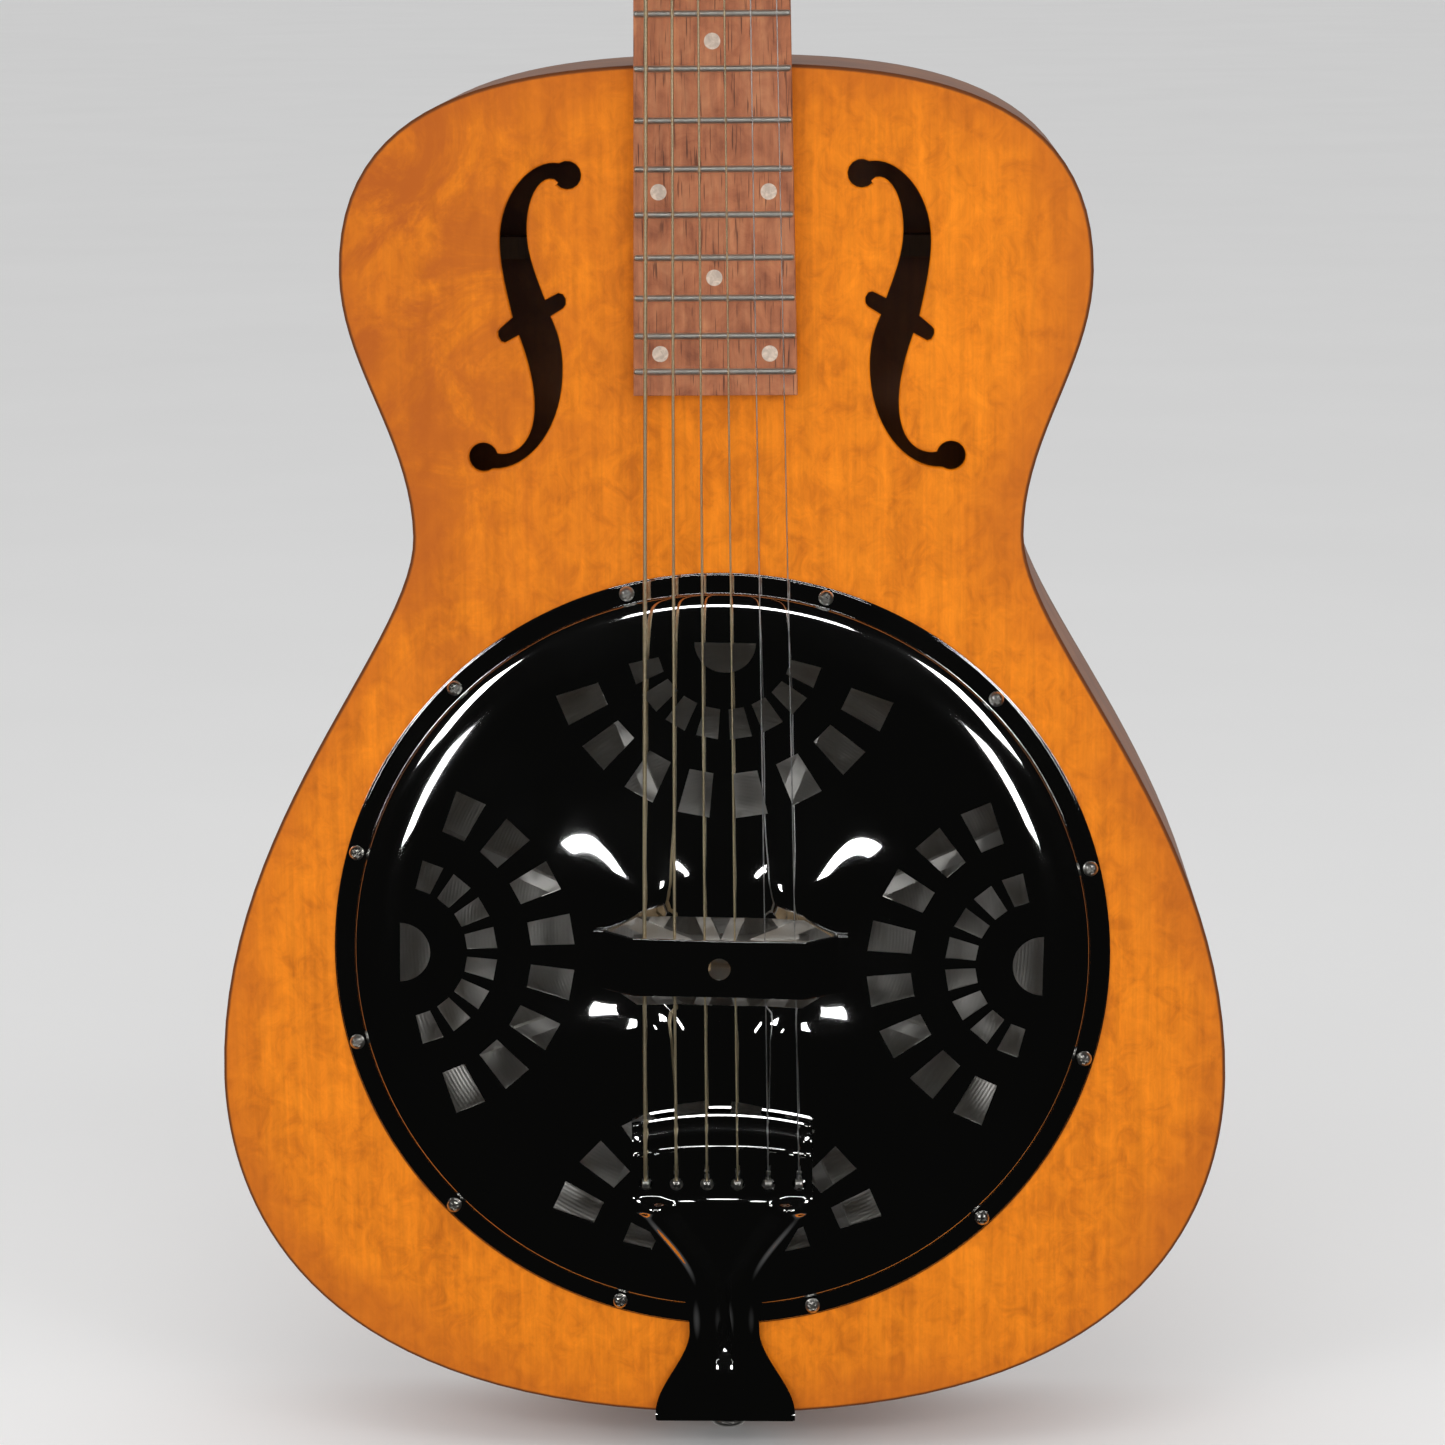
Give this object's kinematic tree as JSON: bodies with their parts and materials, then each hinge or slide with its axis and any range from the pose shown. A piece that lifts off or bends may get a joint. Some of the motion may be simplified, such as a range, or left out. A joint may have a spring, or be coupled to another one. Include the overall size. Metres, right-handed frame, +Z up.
{
  "type": "resonator guitar",
  "caption": "Wooden-bodied resonator guitar: spun cone under a pierced metal cover, bolt-on round neck, solid headstock with worm-geared tuners.",
  "frame": {"origin": "under the wings of the headstock, on the mid-plane, where a wall hanger carries the guitar; 12 mm above the front edge of the nut", "axes": "+Z up along the neck, -Y out of the face towards the player's view, +X to the treble side"},
  "size_m": [0.3682, 0.105, 0.9904],
  "materials": {
    "stained_maple": "amber stained maple, satin lacquer",
    "side_maple": "brown stained maple, satin lacquer",
    "plain_wood": "bare wood",
    "neck_mahogany": "stained mahogany, satin lacquer",
    "rosewood": "oiled rosewood",
    "chrome": "polished chrome plate",
    "aluminium": "spun and cast, bare",
    "nickel": "nickel plate",
    "steel": "plain steel",
    "bronze_winding": "bronze wound",
    "bone": "polished bone",
    "black_plastic": "gloss black"
  },
  "bodies": {
    "root": {"back_brace_lower": "plain_wood", "back_brace_upper": "plain_wood", "back_plate": "side_maple", "cone": "aluminium", "coverplate": "chrome", "coverplate_screw_01": "nickel", "coverplate_screw_02": "nickel", "coverplate_screw_03": "nickel", "coverplate_screw_04": "nickel", "coverplate_screw_05": "nickel", "coverplate_screw_06": "nickel", "coverplate_screw_07": "nickel", "coverplate_screw_08": "nickel", "coverplate_screw_09": "nickel", "coverplate_screw_10": "nickel", "coverplate_screw_11": "nickel", "coverplate_screw_12": "nickel", "fretboard": "rosewood", "hand_rest": "chrome", "lining_back": "plain_wood", "lining_top": "plain_wood", "neck": "neck_mahogany", "neck_block": "plain_wood", "neck_bolt_lower": "steel", "neck_bolt_upper": "steel", "nut": "bone", "saddle_bass": "plain_wood", "saddle_treble": "plain_wood", "side_bass": "side_maple", "side_treble": "side_maple", "soundwell": "plain_wood", "spider": "aluminium", "strap_button": "nickel", "string_1": "bronze_winding", "string_2": "bronze_winding", "string_3": "bronze_winding", "string_4": "bronze_winding", "string_5": "steel", "string_6": "steel", "tail_block": "plain_wood", "tailpiece": "chrome", "tension_screw": "steel", "top_brace": "plain_wood", "top_plate": "stained_maple", "truss_rod": "steel", "truss_rod_cover": "black_plastic", "tuner_plate_bass": "nickel", "tuner_plate_treble": "nickel"},
    "key_1": {"tuner_key_1": "nickel"},
    "post_1": {"tuner_post_1": "nickel"},
    "key_2": {"tuner_key_2": "nickel"},
    "post_2": {"tuner_post_2": "nickel"},
    "key_3": {"tuner_key_3": "nickel"},
    "post_3": {"tuner_post_3": "nickel"},
    "key_4": {"tuner_key_4": "nickel"},
    "post_4": {"tuner_post_4": "nickel"},
    "key_5": {"tuner_key_5": "nickel"},
    "post_5": {"tuner_post_5": "nickel"},
    "key_6": {"tuner_key_6": "nickel"},
    "post_6": {"tuner_post_6": "nickel"}
  },
  "joints": [
    {"name": "key_1_turn", "type": "hinge", "parent": "root", "child": "key_1", "pos_m": [-0.0225, 0.02311, 0.03272], "axis": [1, 0, 0], "continuous": true},
    {"name": "post_1_turn", "type": "hinge", "parent": "root", "child": "post_1", "pos_m": [-0.0225, 0.00248, 0.02851], "axis": [0, 0.9781, -0.2079], "continuous": true},
    {"name": "key_2_turn", "type": "hinge", "parent": "root", "child": "key_2", "pos_m": [-0.0225, 0.03143, 0.07184], "axis": [1, 0, 0], "continuous": true},
    {"name": "post_2_turn", "type": "hinge", "parent": "root", "child": "post_2", "pos_m": [-0.0225, 0.0108, 0.06764], "axis": [0, 0.9781, -0.2079], "continuous": true},
    {"name": "key_3_turn", "type": "hinge", "parent": "root", "child": "key_3", "pos_m": [-0.0225, 0.03974, 0.11097], "axis": [1, 0, 0], "continuous": true},
    {"name": "post_3_turn", "type": "hinge", "parent": "root", "child": "post_3", "pos_m": [-0.0225, 0.01912, 0.10677], "axis": [0, 0.9781, -0.2079], "continuous": true},
    {"name": "key_4_turn", "type": "hinge", "parent": "root", "child": "key_4", "pos_m": [0.0225, 0.02311, 0.03272], "axis": [1, 0, 0], "continuous": true},
    {"name": "post_4_turn", "type": "hinge", "parent": "root", "child": "post_4", "pos_m": [0.0225, 0.00248, 0.02851], "axis": [0, 0.9781, -0.2079], "continuous": true},
    {"name": "key_5_turn", "type": "hinge", "parent": "root", "child": "key_5", "pos_m": [0.0225, 0.03143, 0.07184], "axis": [1, 0, 0], "continuous": true},
    {"name": "post_5_turn", "type": "hinge", "parent": "root", "child": "post_5", "pos_m": [0.0225, 0.0108, 0.06764], "axis": [0, 0.9781, -0.2079], "continuous": true},
    {"name": "key_6_turn", "type": "hinge", "parent": "root", "child": "key_6", "pos_m": [0.0225, 0.03974, 0.11097], "axis": [1, 0, 0], "continuous": true},
    {"name": "post_6_turn", "type": "hinge", "parent": "root", "child": "post_6", "pos_m": [0.0225, 0.01912, 0.10677], "axis": [0, 0.9781, -0.2079], "continuous": true}
  ],
  "couplings": [
    {"joint": "post_1_turn", "follows": "key_1_turn", "ratio": -0.071429},
    {"joint": "post_2_turn", "follows": "key_2_turn", "ratio": -0.071429},
    {"joint": "post_3_turn", "follows": "key_3_turn", "ratio": -0.071429},
    {"joint": "post_4_turn", "follows": "key_4_turn", "ratio": -0.071429},
    {"joint": "post_5_turn", "follows": "key_5_turn", "ratio": -0.071429},
    {"joint": "post_6_turn", "follows": "key_6_turn", "ratio": -0.071429}
  ]
}
